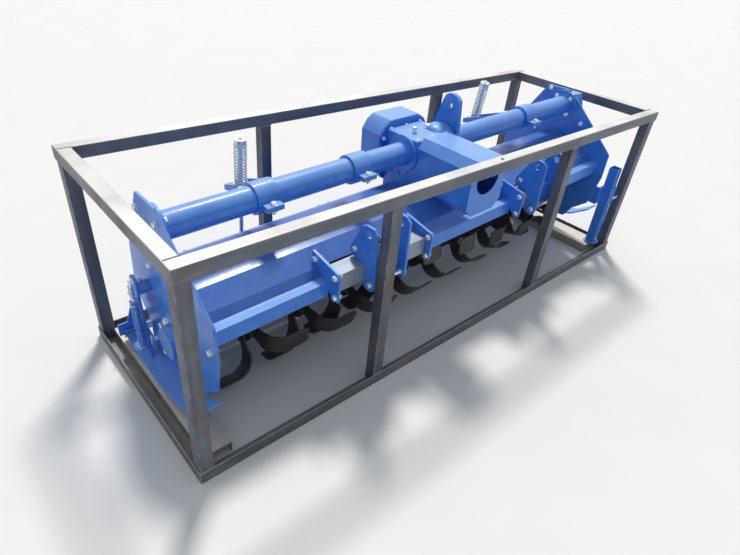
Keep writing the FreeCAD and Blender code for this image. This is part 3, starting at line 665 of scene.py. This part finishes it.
# %% Tines and their bolts
DISCS = 9
DISC_FIRST = -975.0
DISC_STEP = 242.25
DISC_THICK = 12.0
FIRST_TINE = 100.0
TWIST = 9.0
BLADES = 6


def blade_place(disc, number):
    """The hand of a blade and the matrix that puts it on its disc."""
    hand = -1 if number % 2 else 1
    x = DISC_FIRST + disc * DISC_STEP + (DISC_THICK if hand > 0 else 0)
    angle = math.radians(FIRST_TINE + disc * TWIST + number * 360.0 / BLADES)
    place = Matrix.Translation((x * MM, 0, ROTOR_UP * MM)) @ Matrix.Rotation(angle, 4, "X")
    return hand, MACHINE @ place


tines = bmesh.new()
tine_bolts = bmesh.new()
for disc in range(DISCS):
    for number in range(BLADES):
        hand, where = blade_place(disc, number)
        before = len(tines.verts)
        tines.from_mesh(blades[hand])
        tines.verts.ensure_lookup_table()
        bmesh.ops.transform(tines, matrix=where, verts=tines.verts[before:])
        away = (where.to_3x3() @ Vector((hand, 0, 0))).normalized()
        for reach in (77.0, 101.0):
            bolt_head(tine_bolts, where @ Vector((hand * THICK * MM, 0, reach * MM)), away, 12.0)
            nut_end(tine_bolts, where @ Vector((-hand * DISC_THICK * MM, 0, reach * MM)), -away, 12.0)
tine_set = make_piece("hooked_tines", tines, tine_steel, "rotor", sharp=30)
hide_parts("tines")
round_edges(tine_set, 0.6, segments=1, harden=False)
make_piece("tine_bolts", tine_bolts, tine_steel, "rotor")

# %% [markdown]
# ## Coil springs
# Each spring rod carries a compression spring. A coil is a point that goes round
# and along at once: a helix, with its last turns lying flat against the seats as
# on a real ground spring. The rod's line runs from the tailgate's eye towards
# the guide, so the coil is built along that line.

# %% Springs on the rods
EYE = (361.1, 235.0)
GUIDE = (315.0, 581.0)
SPRING_START = 362.4
SPRING_LENGTH = 185.0
COIL_RADIUS = 23.0
WIRE = 3.4
FLAT_RISE = 1.6
TURNS = 15


def coil_points(low, high, radius, turns, per_turn=18):
    """A helix between two points, whose first and last turns rise less."""
    line = high - low
    ahead = line.normalized()
    side = ahead.orthogonal().normalized()
    other = ahead.cross(side)
    wire = WIRE * MM
    free_length = line.length - 2 * wire * (1 + FLAT_RISE)
    found = []
    for k in range(turns * per_turn + 1):
        turn_part = k / per_turn
        share = min(max((turn_part - 1.0) / (turns - 2.0), 0.0), 1.0)
        rise = wire * (1 + FLAT_RISE * min(turn_part, 1.0)) + share * free_length
        rise += wire * FLAT_RISE * max(turn_part - turns + 1.0, 0.0)
        a = 2 * math.pi * turn_part
        found.append(low + ahead * rise + radius * MM * (math.cos(a) * side + math.sin(a) * other))
    return found


for side_name, x in (("left", -739.0), ("right", 751.0)):
    eye = machine(x, *EYE)
    ahead = (machine(x, *GUIDE) - eye).normalized()
    low = eye + ahead * SPRING_START * MM
    points = coil_points(low, low + ahead * SPRING_LENGTH * MM, COIL_RADIUS, TURNS)
    bm = bmesh.new()
    swept(bm, points, [WIRE] * len(points))
    rod = "spring_rod_" + side_name
    spring = make_piece("coil_spring_" + side_name, bm, spring_zinc, rod, sharp=60)
    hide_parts("spring_" + side_name)

# %% [markdown]
# ## Bolts
# Every joint on the machine is bolted, and the bright heads on blue plate are
# what the eye counts first. A table gives each bolt's place in millimetres, the
# way it points and its size, so a missing bolt is one more row and not one more
# block of code. `heads` shows a bolt's head and `ends` its nut.

# %% Bolts of the beam, the hitch and the end plates
WAYS = {"left": -RIGHT, "right": RIGHT, "front": -REAR, "rear": REAR, "up": UP, "down": -UP}
PLATE_OUT = 1205.0
PLATE_IN = 1195.0
HITCH_X = 30.0
HITCH_HALF = 523.0
EAR_OUT = 86.0
EAR_IN = 74.0
FLANGE_THICK = 12.0
BARE_LEFT = (-713.0, -245.0)
BARE_RIGHT = (392.0, 755.0)
flanges = [BARE_LEFT[0] - FLANGE_THICK, BARE_LEFT[1], BARE_RIGHT[0] - FLANGE_THICK, BARE_RIGHT[1]]
hitches = [HITCH_X - HITCH_HALF, HITCH_X + HITCH_HALF]
heads = []
ends = []
for x in flanges:
    for y, z in ((-299, 468), (-180, 487), (-297, 378)):
        heads.append((x, y, z, "left", 13))
        ends.append((x + FLANGE_THICK, y, z, "right", 13))
for middle in hitches:
    for y, z, size in ((-322, 386, 13), (-230, 505, 12)):
        heads.append((middle - EAR_OUT, y, z, "left", size))
        ends.append((middle - EAR_IN, y, z, "right", size))
        ends.append((middle + EAR_IN, y, z, "left", size))
        ends.append((middle + EAR_OUT, y, z, "right", size))
heads += [(PLATE_IN, y, z, "left", 13) for y, z in ((142, 742), (4, 742), (-92, 600))]
heads += [(-PLATE_OUT, y, z, "left", 13) for y, z in ((176, 696), (18, 700), (161, 463))]
for y, z in ((-80, 640), (165, 640), (-150, 520), (250, 420), (240, 560)):
    heads.append((PLATE_OUT, y, z, "right", 12))
heads.append((-PLATE_OUT, -263, 357, "left", 13))
ends.append((-PLATE_IN, -263, 357, "right", 13))
print("rows so far:", len(heads), "heads and", len(ends), "nuts")

# %% [markdown]
# The gearbox, its rear cover, the lid and the clamps round the cross tube have
# their bolts in regular patterns, so loops write those rows. The flange at each
# end of the cross tube is a square, so its bolts and its corners come from the
# same half width.

# %% Bolts of the gearbox, clamps and covers
TUBE_Y, TUBE_Z = 45.0, 672.0
SQUARE_HALF = 42.0
SQUARE_FACE = 1181.0
heads += [(x, y, 745, "up", 8) for x in (-66, 24, 114) for y in (-18, 148)]
for x, z in ((-95, 560), (-103, 632), (-95, 700), (155, 560), (163, 632), (155, 700)):
    heads.append((x, 160, z, "front", 12))
for x, z in ((-85, 545), (-97, 632), (-85, 715), (145, 545), (157, 632), (145, 715), (30, 505), (30, 760)):
    heads.append((x, 290, z, "rear", 12))
for middle in (-358, -803, 802):
    heads.append((middle, -37, TUBE_Z, "up", 13))
    ends.append((middle, -37, TUBE_Z - 20, "down", 13))
for x in (-358, -839, -765, 766, 838):
    heads.append((x, 128, TUBE_Z, "up", 13))
for y in (TUBE_Y - SQUARE_HALF, TUBE_Y + SQUARE_HALF):
    for z in (TUBE_Z - SQUARE_HALF, TUBE_Z + SQUARE_HALF):
        heads.append((-SQUARE_FACE, y, z, "right", 12))
        heads.append((SQUARE_FACE, y, z, "left", 12))
print("rows now:", len(heads), "heads and", len(ends), "nuts")

# %% [markdown]
# The last rows are the drive case on the right, the bearing on the left with its
# four bolts on a circle round the rotor's axis, and the parking leg's bracket.
# Then every row becomes a head or a nut, and all of them are one piece.

# %% Bolts of the drive case and the bearing, and the bolts' piece
CASE_FACE = 1263.0
BEARING_FACE = 1217.0
BEARING_CIRCLE = 77.0
for y, z in ((70, 700), (20, 700), (85, 560), (5, 560), (70, 420), (-10, 420), (62, 300), (-62, 300), (0, 150)):
    heads.append((CASE_FACE, y, z, "right", 10))
for y, z, size in ((115, 218, 18), (144, 62, 12), (228, 72, 12)):
    heads.append((-BEARING_FACE, y, z, "left", size))
for a in (-40, 50, 140, 230):
    y, up = BEARING_CIRCLE * math.cos(math.radians(a)), BEARING_CIRCLE * math.sin(math.radians(a))
    heads.append((-BEARING_FACE - 4, y, ROTOR_UP + up, "left", 15))
heads += [(1276, -361, -54, "front", 8), (1305, -336, 250, "right", 8)]

bm = bmesh.new()
for x, y, z, way, size in heads:
    bolt_head(bm, machine(x, y, z), WAYS[way], size)
for x, y, z, way, size in ends:
    nut_end(bm, machine(x, y, z), WAYS[way], size)
for middle in hitches:
    for y, z, radius in ((-322, 386, 8), (-230, 505, 6)):
        turned(bm, [(0, radius), (2 * EAR_OUT, radius)], machine(middle - EAR_OUT, y, z), RIGHT, 14)
make_piece("zinc_bolts", bm, zinc)
print("bolts:", len(heads) + len(ends))

# %% [markdown]
# ## The left end
# The plate at the left end carries a second, smaller plate for the rotor's
# bearing, and it is the part of the machine nearest to the eye. Its outline is
# cut with slanted corners and its bolts are the largest on the machine. A flat
# plate is an outline pushed out by its thickness.

# %% Bearing plate on the left end
def plate(bm, near, far):
    """A plate between two outlines of points in metres."""
    low = [bm.verts.new(point) for point in near]
    high = [bm.verts.new(point) for point in far]
    bm.faces.new(low[::-1])
    bm.faces.new(high)
    for k in range(len(low)):
        bm.faces.new((low[k - 1], low[k], high[k], high[k - 1]))


def slab(bm, outline, x0, x1):
    """A plate with that (y, z) outline between two places along the machine."""
    plate(bm, [machine(x0, y, z) for y, z in outline], [machine(x1, y, z) for y, z in outline])


bm = bmesh.new()
slab(bm, [(262, 107), (209, 178), (150, 238), (112, 262), (40, 330), (-40, 330), (-110, 262), (-118, 150),
          (-60, 100), (45, 62), (89, 48), (150, 14), (248, 14), (270, 57)], -PLATE_OUT, -BEARING_FACE)
make_piece("bearing_plate", bm, edge=2.0)

# %% [markdown]
# The cross tube meets each end plate in a square flange with rounded corners and
# a bolt in each. Beside the gearbox, the tube's housing swells into a bell,
# turned like a bowl. And behind the hood, a narrow folded strip closes the gap
# to the tailgate.

# %% Square tube flanges, the bell and the closing strip
HOOD_RADIUS = 300.0
SQUARE_CORNER = 14.0


def arc_points(y, z, radius, start, end, steps):
    """Points (y, z) along an arc between two angles in degrees."""
    turns = [math.radians(start + (end - start) * k / steps) for k in range(steps + 1)]
    return [(y + radius * math.cos(a), z + radius * math.sin(a)) for a in turns]


bm = bmesh.new()
square = []
for quarter, (to_y, to_z) in enumerate(((1, 1), (-1, 1), (-1, -1), (1, -1))):
    square += arc_points(TUBE_Y + to_y * SQUARE_HALF, TUBE_Z + to_z * SQUARE_HALF, SQUARE_CORNER,
                         90 * quarter, 90 * quarter + 90, 6)
slab(bm, square, -PLATE_IN, -SQUARE_FACE)
slab(bm, square, SQUARE_FACE, PLATE_IN)
make_piece("tube_flange_squares", bm, edge=1.5)

bm = bmesh.new()
bowl = [(0, 66), (4, 76), (12, 85), (24, 91), (40, 94), (92, 94), (94, 92)]
turned(bm, bowl, machine(64, TUBE_Y, TUBE_Z), RIGHT, 64)
make_piece("gearbox_bell", bm, sharp=40)

bm = bmesh.new()
outside = arc_points(0, ROTOR_UP, HOOD_RADIUS - 0.5, 26, 17.8, 6)
inside = arc_points(0, ROTOR_UP, HOOD_RADIUS - 3.5, 17.8, 26, 6)
slab(bm, outside + inside, 1 - PLATE_IN, PLATE_IN - 1)
# the strip takes the darker copy of the paint: painted shade
make_piece("hood_closing_strip", bm, shaded_blue_paint)

# %% [markdown]
# Each skid's upright strap ends in a rounded eye with a bolt through it. The eye
# is a half circle on a short straight piece, a little thicker than the strap, so
# that its faces don't fall into the strap's.

# %% Rounded strap ends
STRAP_MIDDLE = 227.5
STRAP_HALF = 27.0
STRAP_OUT, STRAP_IN = 1259.6, 1248.4
EYE_UP = 375.0
for side_name, hand, outward, inward in (("left", -1, "left", "right"), ("right", 1, "right", "left")):
    low, high = sorted((hand * STRAP_OUT, hand * STRAP_IN))
    foot = EYE_UP - 42
    top = arc_points(STRAP_MIDDLE, EYE_UP, STRAP_HALF, 0, 180, 14)
    bm = bmesh.new()
    slab(bm, [(STRAP_MIDDLE + STRAP_HALF, foot)] + top + [(STRAP_MIDDLE - STRAP_HALF, foot)], low, high)
    make_piece("strap_end_" + side_name, bm, edge=1.2)
    bm = bmesh.new()
    bolt_head(bm, machine(hand * STRAP_OUT, STRAP_MIDDLE, EYE_UP), WAYS[outward], 16)
    nut_end(bm, machine(hand * STRAP_IN, STRAP_MIDDLE, EYE_UP), WAYS[inward], 16)
    make_piece("strap_bolt_" + side_name, bm, zinc)

# %% [markdown]
# A zinc angle with one bolt ties the left strap to the end plate, and a short
# coil spring on a zinc rod stands on the strap's outer face between two small
# ears. The spring uses the same helix as the large ones, with finer wire.

# %% Zinc angle and spring on the left strap
bm = bmesh.new()
slab(bm, [(258, 268), (294, 258), (294, 322), (258, 332)], -1264, -1259)
slab(bm, [(290, 259), (294, 258), (294, 322), (290, 323)], -1259, -PLATE_OUT)
bolt_head(bm, machine(-1264, 277, 296), WAYS["left"], 9)
nut_end(bm, machine(-1259, 277, 296), WAYS["right"], 9)
make_piece("strap_bracket", bm, zinc, edge=0.8)

FINE_WIRE = 2.6
low, high = machine(-1278, 216, 78), machine(-1278, 206, 286)
points = coil_points(low, high, radius=13, turns=21, per_turn=14)
bm = bmesh.new()
swept(bm, points, [FINE_WIRE] * len(points), 6)
make_piece("skid_spring", bm, sharp=60)

bm = bmesh.new()
ahead = (high - low).normalized()
turned(bm, [(-20, 6), (232, 6)], low, ahead, 12)
for start in (-7, 210):
    turned(bm, [(start, 16), (start + 5, 16)], low, ahead, 18)
turned(bm, [(215, 10), (224, 10), (226, 8)], low, ahead, 6)
make_piece("skid_spring_rod", bm, zinc)

bm = bmesh.new()
for y, z in ((216.5, 66), (205, 302)):
    slab(bm, [(y - 14, z - 4), (y + 14, z - 4), (y + 14, z + 4), (y - 14, z + 4)], -1290, -1258)
make_piece("skid_spring_ears", bm, edge=1.2)

# %% [markdown]
# The tailgate is wider than the machine: at each end a flat arm reaches out from
# its foot and slants up towards the end plate. The arm rides with the tailgate.

# %% Arms at the tailgate's ends
ARM = [(1322, 106), (1322, 50), (1274, 44), (1266, 48), (1222, 172), (1222, 214), (1246, 204), (1282, 106)]
ARM_FRONT, ARM_REAR = 352, 359
for side_name, hand in (("left", -1), ("right", 1)):
    bm = bmesh.new()
    plate(bm, [machine(hand * x, ARM_FRONT, z) for x, z in ARM], [machine(hand * x, ARM_REAR, z) for x, z in ARM])
    make_piece("tailgate_arm_" + side_name, bm, body="tailgate", edge=1.5)

# %% [markdown]
# ## Weld beads
# Welded work is only convincing with its welds. A bead is a row of overlapping
# pools, so its radius swells and shrinks every few millimetres as it runs along
# the joint.

# %% Helper: a rippled bead
def bead(bm, points, radius, ring=False):
    """A rippled bead along points in metres, with its mean radius in mm."""
    fine = []
    for a, b in zip(points, points[1:] + (points[:1] if ring else [])):
        steps = max(int((b - a).length / 0.0018), 1)
        fine += [a.lerp(b, k / steps) for k in range(steps)]
    if not ring:
        fine.append(points[-1])
    swell = [0.86 + 0.16 * math.sin(k * 1.57) + 0.05 * math.sin(k * 0.37) for k in range(len(fine))]
    swept(bm, fine, [radius * part for part in swell], 6, ring)
    return len(fine)


# %% [markdown]
# The frame's beads are left bare. On the top ring they close the butt joints at
# the four corners, across the top and down the inner face.

# %% Weld beads of the frame's top ring
STOCK = 0.050
frame_low, frame_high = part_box("frame_top")
rim_z = frame_high.z
bm = bmesh.new()
steps_made = 0
for end_x in (frame_low.x, frame_high.x):
    inner_x = end_x + (STOCK if end_x < 0 else -STOCK)
    outer_x = end_x + (0.005 if end_x < 0 else -0.005)
    for end_y in (frame_low.y, frame_high.y):
        seam_y = end_y + (STOCK if end_y < 0 else -STOCK)
        across = [Vector((outer_x, seam_y, rim_z - 0.0008)), Vector((inner_x, seam_y, rim_z - 0.0008))]
        down = [Vector((inner_x, seam_y, rim_z - 0.003)), Vector((inner_x, seam_y, rim_z - STOCK + 0.003))]
        steps_made += bead(bm, across, 3.4) + bead(bm, down, 3.6)
print("the ring's beads have", steps_made, "ripple steps")

# %% [markdown]
# Each post is welded round its head to the top ring and at its foot to the
# angle's upright leg, and the bearers are welded along both ends.

# %% Weld beads of the posts and bearers
for name in frame["nodes"]:
    if name.startswith("frame_post"):
        low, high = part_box(name)
        out = -1 if low.y < 0 else 1
        outer_y, inner_y = (low.y, high.y) if out < 0 else (high.y, low.y)
        inner_y += out * STOCK * 0.1
        foot_y = outer_y - out * 0.0005
        for x in (low.x, high.x):
            bead(bm, [Vector((x, outer_y, high.z)), Vector((x, inner_y, high.z))], 3.8)
        bead(bm, [Vector((low.x, outer_y, high.z)), Vector((high.x, outer_y, high.z))], 3.8)
        bead(bm, [Vector((low.x, foot_y, STOCK)), Vector((high.x, foot_y, STOCK))], 3.6)
        for x in (low.x, high.x):
            if abs(x) < abs(frame_low.x) - 0.01:
                bead(bm, [Vector((x, outer_y, 0.006)), Vector((x, outer_y, STOCK))], 3.6)
for name in ("bearer_left", "bearer_right"):
    low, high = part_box(name)
    for y in (low.y, high.y):
        bead(bm, [Vector((low.x, y, high.z)), Vector((high.x, y, high.z))], 2.6)
make_piece("frame_welds", bm, weld_steel, sharp=70)

# %% [markdown]
# The painted beads run where the beam meets its flange plates, round the cross
# tubes, along the hood's edge and down the skids. They are the same bead in the
# machine's blue.

# %% Weld beads of the machine
TUBE_RADIUS = 50.5
BEAM_FRONT, BEAM_LOW, BEAM_TOP = -257, 364, 426
bm = bmesh.new()
for x in (BARE_LEFT[0] - FLANGE_THICK, BARE_LEFT[1] + FLANGE_THICK,
          BARE_RIGHT[0] - FLANGE_THICK, BARE_RIGHT[1] + FLANGE_THICK):
    corners = [(BEAM_FRONT, BEAM_LOW), (BEAM_FRONT, BEAM_TOP), (-214, BEAM_TOP)]
    bead(bm, [machine(x, y, z) for y, z in corners], 3.0)
for x in (-1183, -92, 190, 1183):
    bead(bm, [machine(x, TUBE_Y + a, TUBE_Z + b) for a, b in circle(TUBE_RADIUS, 40)], 3.2, ring=True)
for x in (-PLATE_IN, PLATE_IN):
    bead(bm, [machine(x, BEAM_FRONT + 1, BEAM_TOP), machine(x, -214, BEAM_TOP)], 3.2)
    bead(bm, [machine(x, BEAM_FRONT, BEAM_LOW), machine(x, BEAM_FRONT, BEAM_TOP)], 3.2)
    hood = [(HOOD_RADIUS * math.cos(math.radians(a)), HOOD_RADIUS * math.sin(math.radians(a)))
            for a in (130, 113, 92, 70, 46, 24)]
    bead(bm, [machine(x, y, ROTOR_UP + up) for y, up in hood], 3.2)
for x in (-1213, 1213):
    bead(bm, [machine(x, y, z) for y, z in ((-60, 52), (-20, 20), (45, 9), (215, 9))], 2.8)
make_piece("machine_welds", bm, sharp=70)

# %% [markdown]
# Both faces of every disc are welded to the rotor's shaft. These rings turn with
# the rotor, so they are a piece of their own on that body.

# %% Weld beads of the rotor
SHAFT_RADIUS = 46.0
RING_STEPS = 30
bm = bmesh.new()
for disc in range(DISCS):
    x = DISC_FIRST + disc * DISC_STEP
    for face_x in (x, x + DISC_THICK):
        ring = [machine(face_x, a, ROTOR_UP + b) for a, b in circle(SHAFT_RADIUS, RING_STEPS)]
        swept(bm, ring, [3.4 + 0.6 * (k % 2) for k in range(RING_STEPS)], 6, ring=True)
make_piece("rotor_welds", bm, tine_steel, "rotor", sharp=70)

# %% [markdown]
# ## Gearbox fittings
# A gearbox has a breather and a filler plug on its lid and a level plug in its
# rear cover, and its cast case has ribs. They are small, but a plain block
# without them reads as a box.

# %% Breather, plugs and ribs
LID_TOP = 745.0
COVER_FACE = 290.0
breather = [(0, 12), (6, 12), (7, 8), (12, 8), (13, 11), (24, 11), (27, 8), (28, 3)]
filler, level_plug = machine(85, 70, LID_TOP), machine(25, COVER_FACE, 585)
bm = bmesh.new()
turned(bm, breather, machine(-10, 60, LID_TOP), UP, 24)
turned(bm, [(0, 17), (3, 17), (4, 15)], filler, UP, 24)
turned(bm, [(4, 15), (14, 15), (16, 13)], filler, UP, 6)
turned(bm, [(0, 15), (3, 15), (4, 13)], level_plug, REAR, 20)
turned(bm, [(4, 13), (12, 13), (14, 11)], level_plug, REAR, 6)
make_piece("gearbox_plugs", bm, zinc)

bm = bmesh.new()
for y in (20, 65, 110):
    slab(bm, [(y - 4, 560), (y - 4, 732), (y + 4, 732), (y + 4, 560)], -80, -84)
slab(bm, [(160, 560), (160, 700), (172, 690), (172, 570)], 138, 146)
make_piece("gearbox_ribs", bm, edge=1.5)

# %% [markdown]
# ## A hole in the rail
# The frame's front rail has a drilled hole, and the hollow tube under it lies in
# shade. A shallow near-black disc with a turned rim shows it without cutting the
# rail; its colour is painted shade.

# %% Hole in the front rail
dark, tree, skin = start_material("hole_painted_shade")
pits = use(tree, grain, Scale=500.0, Roughness=0.6)
# near-black colour: painted shade for the inside of the tube
tree.links.new(mixed(tree, pits.outputs["Shade"], (0.004, 0.004, 0.004, 1), (0.02, 0.018, 0.016, 1)),
               skin.inputs["Base Color"])
skin.inputs["Roughness"].default_value = 0.9
set_bump(tree, skin, pits.outputs["Height"], 0.3, 0.001)
bm = bmesh.new()
rim_profile = [(-2, 7.5), (0.6, 7.5), (0.9, 7.0), (0.5, 6.4), (0.2, 5.0)]
turned(bm, rim_profile, Vector((0.001, -0.445, rim_z)), Vector((0, 0, 1)), 24)
make_piece("rail_hole", bm, dark)

# %% [markdown]
# ## The floor
# A product picture needs an even pale floor that runs on past the edge of the
# view. A very wide disc with a faint haze in its colour does that.

# %% Floor
FLOOR_RADIUS = 70.0
bm = bmesh.new()
bm.faces.new([bm.verts.new((a, b, 0.0)) for a, b in circle(FLOOR_RADIUS, 24)])
mesh = bpy.data.meshes.new("floor")
bm.to_mesh(mesh)
bm.free()
floor = bpy.data.objects.new("floor", mesh)
bpy.context.scene.collection.objects.link(floor)
pale, tree, skin = start_material("pale_floor")
haze = use(tree, grain, Scale=60.0, Roughness=0.5)
tree.links.new(mixed(tree, haze.outputs["Shade"], (0.78, 0.775, 0.765, 1), (0.84, 0.835, 0.825, 1)),
               skin.inputs["Base Color"])
skin.inputs["Roughness"].default_value = 0.85
mesh.materials.append(pale)
print("the floor is", 2 * FLOOR_RADIUS, "m wide")

# %% [markdown]
# ## Light
# A large soft sun from above and behind gives the bright tops and the gloss
# along the blue paint, and a pale sky fills the shadows. The background is white
# to the camera and to reflections only, so that it adds no light of its own.

# %% World and sun
SKY_STRENGTH = 0.5
world = bpy.data.worlds.new("studio")
bpy.context.scene.world = world
world.use_nodes = True
tree = world.node_tree
tree.nodes.clear()
path = put(tree, "LightPath", {})
seen = sums(tree, "MAXIMUM", path.outputs["Is Camera Ray"], path.outputs["Is Glossy Ray"])
seen = sums(tree, "MAXIMUM", seen, path.outputs["Is Transmission Ray"])
sky = put(tree, "Background", {"Color": (0.88, 0.94, 1.0, 1), "Strength": SKY_STRENGTH})
white = put(tree, "Background", {"Color": (1, 1, 1, 1), "Strength": 1.0})
both = put(tree, "MixShader", {0: seen, 1: sky.outputs[0], 2: white.outputs[0]})
out = tree.nodes.new("ShaderNodeOutputWorld")
tree.links.new(both.outputs[0], out.inputs["Surface"])

sun_data = bpy.data.lights.new("soft_sun", "SUN")
sun_data.energy = 2.5
sun_data.angle = math.radians(11)
sun_data.color = (1.0, 0.97, 0.92)
sun = bpy.data.objects.new("soft_sun", sun_data)
sun.rotation_euler = Vector((-0.42, -0.48, -1.0)).to_track_quat("-Z", "Y").to_euler()
bpy.context.scene.collection.objects.link(sun)
bpy.context.scene.view_settings.view_transform = "Standard"
print("light: sun", sun_data.energy, "and sky", SKY_STRENGTH)
